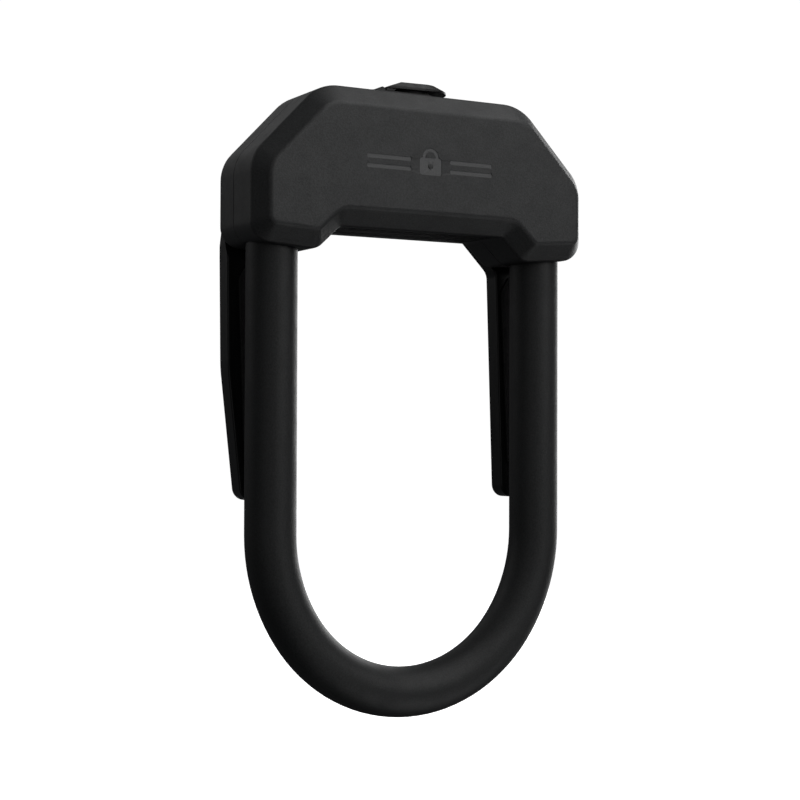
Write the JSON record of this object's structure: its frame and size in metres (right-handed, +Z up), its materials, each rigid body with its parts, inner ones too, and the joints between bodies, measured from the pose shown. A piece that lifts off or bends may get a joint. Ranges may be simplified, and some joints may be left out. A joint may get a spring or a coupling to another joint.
{
  "type": "u lock",
  "caption": "Compact bicycle U lock: a coated steel shackle, a boxed crossbar with a keyed cylinder under a dust flap, and sprung belt clips behind.",
  "frame": {"origin": "middle of the crossbar's underside, the face that closes the shackle's loop, in the plane of the shackle legs", "axes": "+Z up, from the shackle's bow towards the crossbar; +X along the crossbar to the right; +Y from the raised front face towards the belt clips"},
  "size_m": [0.1266, 0.0406, 0.2135],
  "materials": {
    "soft_touch_plastic": "fine-grained matte black",
    "shackle_coating": "matte black dipped coating",
    "clip_nylon": "smooth satin black nylon",
    "flap_rubber": "matte moulded rubber",
    "rubber": "matte rubber",
    "emblem_grey": "dull grey inlay",
    "hardened_steel": "hardened steel",
    "bright_steel": "ground steel",
    "black_steel": "blackened steel",
    "brass": "machined brass"
  },
  "bodies": {
    "crossbar": {"front_cover": "soft_touch_plastic", "back_cover": "soft_touch_plastic", "underside_strip": "rubber", "emblem_inlay": "emblem_grey", "cover_screws": "black_steel", "crossbar_channel": "hardened_steel", "crossbar_lid": "hardened_steel", "right_end_plate": "hardened_steel", "left_end_plate": "hardened_steel", "right_leg_bush": "rubber", "left_leg_bush": "rubber", "cylinder_guard": "hardened_steel", "drill_plate": "hardened_steel", "lock_barrel": "brass", "barrel_retaining_pin": "hardened_steel", "plug_ring": "hardened_steel", "keyhole_bezel": "clip_nylon", "flap_hinge_pin": "bright_steel", "clip_bracket": "clip_nylon", "bracket_screws": "black_steel"},
    "shackle": {"shackle_core": "hardened_steel", "shackle_sleeve": "shackle_coating", "left_leg_end": "hardened_steel", "right_leg_end": "hardened_steel"},
    "plug": {"plug_carrier": "brass", "keyway_disc": "bright_steel", "sidebar": "brass", "disc_spacers": "bright_steel", "cam_plate": "bright_steel", "cam_pins": "bright_steel", "detainer_disc_1": "bright_steel", "detainer_disc_2": "bright_steel", "detainer_disc_3": "bright_steel", "detainer_disc_4": "bright_steel", "detainer_disc_5": "bright_steel", "detainer_disc_6": "bright_steel", "detainer_disc_7": "bright_steel"},
    "left_bolt_body": {"left_bolt": "bright_steel"},
    "right_bolt_body": {"right_bolt": "bright_steel"},
    "flap": {"dust_flap": "flap_rubber", "flap_seal": "rubber"},
    "left_clip": {"left_clip_arm": "clip_nylon", "left_clip_pad": "rubber"},
    "right_clip": {"right_clip_arm": "clip_nylon", "right_clip_pad": "rubber"}
  },
  "joints": [
    {"name": "shackle_slide", "type": "slide", "parent": "crossbar", "child": "shackle", "axis": [0, 0, -1], "range_m": [0, 0.06]},
    {"name": "plug_turn", "type": "hinge", "parent": "crossbar", "child": "plug", "pos_m": [0, 0, 0.03], "axis": [0, 0, 1], "range_deg": [0, 90]},
    {"name": "left_bolt_slide", "type": "slide", "parent": "crossbar", "child": "left_bolt_body", "axis": [-1, 0, 0], "range_m": [0, 0.00565]},
    {"name": "right_bolt_slide", "type": "slide", "parent": "crossbar", "child": "right_bolt_body", "axis": [1, 0, 0], "range_m": [0, 0.0057]},
    {"name": "flap_hinge", "type": "hinge", "parent": "crossbar", "child": "flap", "pos_m": [-0.0135, 0, 0.0472], "axis": [0, -1, 0], "range_deg": [0, 110]},
    {"name": "left_clip_flex", "type": "hinge", "parent": "crossbar", "child": "left_clip", "pos_m": [-0.047, 0.0215, 0.008], "axis": [1, 0, 0], "range_deg": [0, 7], "stiffness_Nm_per_rad": 6},
    {"name": "right_clip_flex", "type": "hinge", "parent": "crossbar", "child": "right_clip", "pos_m": [0.047, 0.0215, 0.008], "axis": [1, 0, 0], "range_deg": [0, 7], "stiffness_Nm_per_rad": 6}
  ],
  "couplings": [
    {"joint": "right_bolt_slide", "follows": "left_bolt_slide", "ratio": 1},
    {"joint": "plug_turn", "follows": "left_bolt_slide", "rad_per_m": 278}
  ]
}
